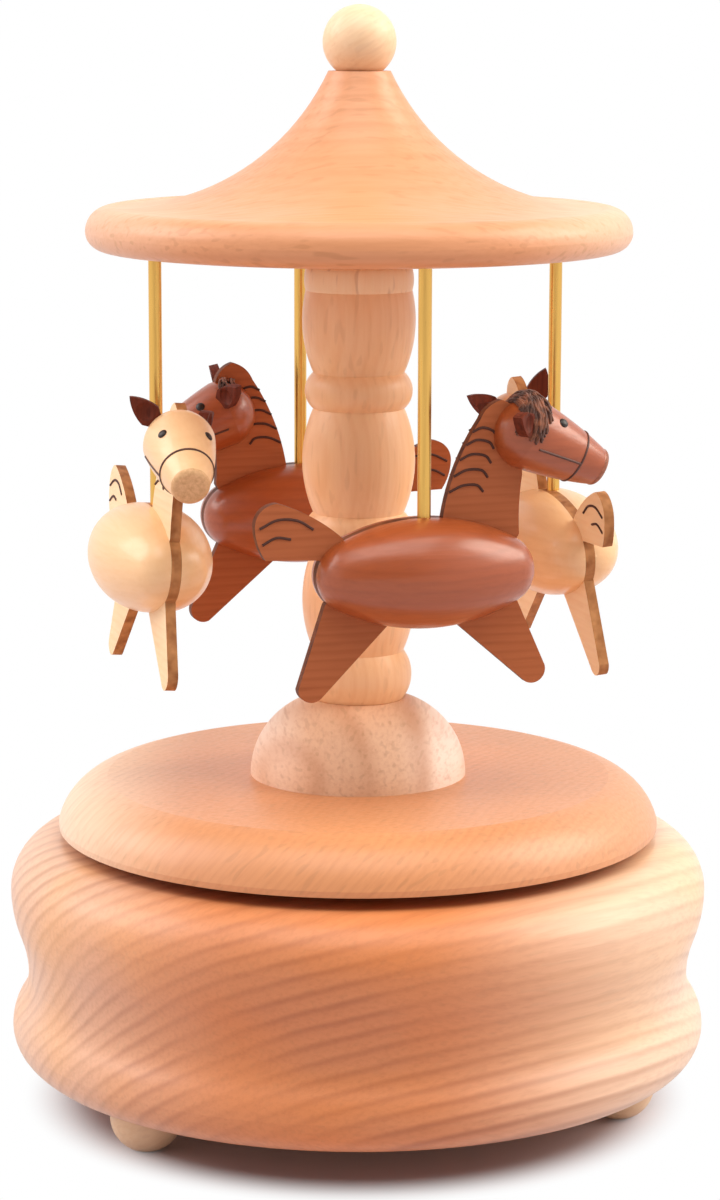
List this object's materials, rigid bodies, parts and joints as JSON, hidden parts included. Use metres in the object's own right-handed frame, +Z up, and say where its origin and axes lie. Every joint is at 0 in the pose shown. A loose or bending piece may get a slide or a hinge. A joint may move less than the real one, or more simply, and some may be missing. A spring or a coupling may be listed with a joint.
{
  "type": "carousel music box",
  "caption": "Free-standing turned-wood music box: a hand-wound turntable carries a column, a flared roof and toy horses hung on brass poles over a drum-shaped base on ball feet.",
  "frame": {"origin": "on the floor under the middle of the base, on the axis of the turntable", "axes": "+Z up along the turning axis; -Y towards the viewer of the picture, +X to the viewer's right"},
  "size_m": [0.11, 0.11, 0.172],
  "materials": {
    "base_wood": "satin lacquered beech with broad growth figure",
    "disc_wood": "satin lacquered beech",
    "collar_wood": "oiled beech with end-grain rings",
    "column_wood": "satin lacquered beech",
    "roof_wood": "satin lacquered beech",
    "ball_wood": "pale sanded beech",
    "dowel_wood": "plain beech dowel",
    "cover_wood": "birch plywood",
    "dark_turned": "glossy red-brown stain",
    "dark_board": "satin red-brown stain",
    "light_turned": "glossy natural maple",
    "light_board": "satin natural maple",
    "ear_brown": "dark brown stain",
    "pole_brass": "polished",
    "movement_brass": "machined",
    "screw_steel": "zinc plated",
    "arbor_steel": "ground",
    "spring_steel": "blued",
    "bed_metal": "plated",
    "fan_metal": "sheet",
    "washer_plastic": "natural nylon"
  },
  "bodies": {
    "base": {"ball_feet": "ball_wood", "base_shell": "base_wood", "bedplate": "bed_metal", "comb": "spring_steel", "comb_block": "bed_metal", "comb_screws": "screw_steel", "cover_plate": "cover_wood", "cover_screws": "screw_steel", "cylinder_bearing": "bed_metal", "governor_frame": "bed_metal", "mainspring": "spring_steel", "movement_screws": "screw_steel", "spindle_bush": "movement_brass", "spring_housing": "bed_metal", "thrust_washer": "washer_plastic", "train_plate": "bed_metal"},
    "carousel": {"spindle": "arbor_steel", "great_wheel": "movement_brass", "spindle_nut": "screw_steel", "turntable_disc": "disc_wood", "dome_collar": "collar_wood", "column": "column_wood", "lower_dowel": "dowel_wood", "upper_dowel": "dowel_wood", "roof": "roof_wood", "finial_ball": "ball_wood", "finial_dowel": "dowel_wood", "back_dark_board": "dark_board", "back_dark_body_inner": "dark_turned", "back_dark_body_outer": "dark_turned", "back_dark_ears": "ear_brown", "back_dark_head": "dark_turned", "back_dark_pole": "pole_brass", "front_dark_board": "dark_board", "front_dark_body_inner": "dark_turned", "front_dark_body_outer": "dark_turned", "front_dark_ears": "ear_brown", "front_dark_head": "dark_turned", "front_dark_pole": "pole_brass", "left_light_board": "light_board", "left_light_body_inner": "light_turned", "left_light_body_outer": "light_turned", "left_light_ears": "ear_brown", "left_light_head": "light_turned", "left_light_pole": "pole_brass", "right_light_board": "light_board", "right_light_body_inner": "light_turned", "right_light_body_outer": "light_turned", "right_light_ears": "ear_brown", "right_light_head": "light_turned", "right_light_pole": "pole_brass"},
    "music_cylinder": {"pinned_cylinder": "movement_brass", "cylinder_arbor": "arbor_steel", "cylinder_pinion": "movement_brass", "cylinder_wheel": "movement_brass"},
    "governor": {"governor_arbor": "arbor_steel", "worm_wheel": "movement_brass"},
    "fan": {"worm_shaft": "arbor_steel", "fan_blades": "fan_metal"}
  },
  "joints": [
    {"name": "carousel_turn", "type": "hinge", "parent": "base", "child": "carousel", "pos_m": [0, 0, 0.0424], "axis": [0, 0, 1], "continuous": true},
    {"name": "cylinder_turn", "type": "hinge", "parent": "base", "child": "music_cylinder", "pos_m": [0.02, 0, 0.02595], "axis": [1, 0, 0], "continuous": true},
    {"name": "governor_turn", "type": "hinge", "parent": "base", "child": "governor", "pos_m": [0.021, 0.0097, 0.02595], "axis": [1, 0, 0], "continuous": true},
    {"name": "fan_turn", "type": "hinge", "parent": "base", "child": "fan", "pos_m": [0.021, 0.0142, 0.02], "axis": [0, 0, 1], "continuous": true}
  ],
  "couplings": [
    {"joint": "cylinder_turn", "follows": "carousel_turn", "ratio": 4},
    {"joint": "governor_turn", "follows": "carousel_turn", "ratio": -15.2},
    {"joint": "fan_turn", "follows": "carousel_turn", "ratio": 304}
  ]
}
